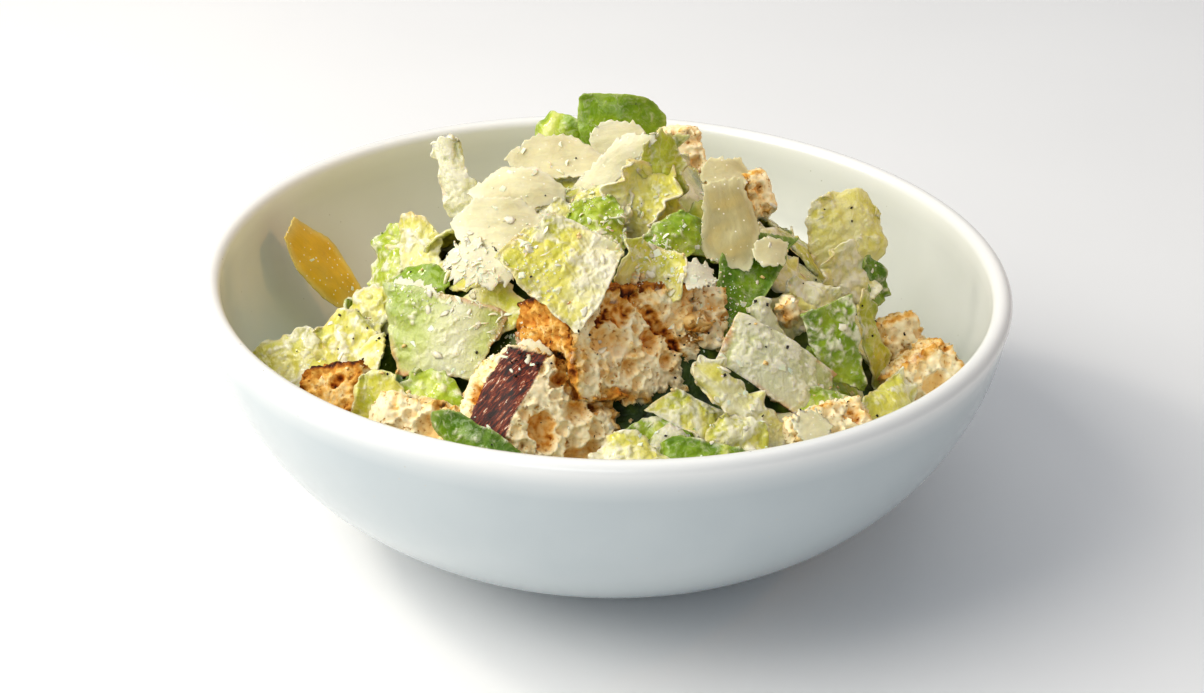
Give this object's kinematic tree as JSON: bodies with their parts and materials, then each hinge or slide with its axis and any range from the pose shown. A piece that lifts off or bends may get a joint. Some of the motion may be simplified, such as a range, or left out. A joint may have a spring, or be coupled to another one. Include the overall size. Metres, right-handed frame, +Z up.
{
  "type": "caesar salad in a bowl",
  "caption": "Caesar salad heaped in a round white glazed bowl: dressed romaine leaves, rustic toasted croutons and shavings of hard cheese.",
  "frame": {"origin": "centre of the foot ring, on the table plane", "axes": "+Z up along the bowl's axis; -Y towards the guest, where the croutons lie; +X to the guest's right"},
  "size_m": [0.22, 0.22, 0.1168],
  "materials": {
    "white_glaze": "gloss",
    "romaine": "semi-gloss, dressed",
    "romaine_outer_leaf": "satin",
    "romaine_rib": "satin",
    "toasted_bread": "matte",
    "hard_cheese": "satin"
  },
  "bodies": {
    "root": {"bowl": "white_glaze", "crouton_behind": "toasted_bread", "crouton_crumb": "toasted_bread", "crouton_crust": "toasted_bread", "crouton_high": "toasted_bread", "crouton_left": "toasted_bread", "crouton_left_front": "toasted_bread", "crouton_middle": "toasted_bread", "crouton_right": "toasted_bread", "crouton_right_back": "toasted_bread", "crouton_right_front": "toasted_bread", "crouton_top_back": "toasted_bread", "leaf_top": "romaine_outer_leaf", "leaf_top_left": "romaine_outer_leaf", "lettuce_heap": "romaine", "rib_left": "romaine_rib", "shaving_between": "hard_cheese", "shaving_curl": "hard_cheese", "shaving_edge": "hard_cheese", "shaving_far": "hard_cheese", "shaving_low_right": "hard_cheese", "shaving_on_rib": "hard_cheese", "shaving_peak": "hard_cheese", "shaving_ragged": "hard_cheese", "shaving_right": "hard_cheese", "shaving_right_small": "hard_cheese", "shaving_top": "hard_cheese", "shaving_upper": "hard_cheese", "shaving_wall": "hard_cheese", "shaving_wide": "hard_cheese"}
  },
  "joints": []
}
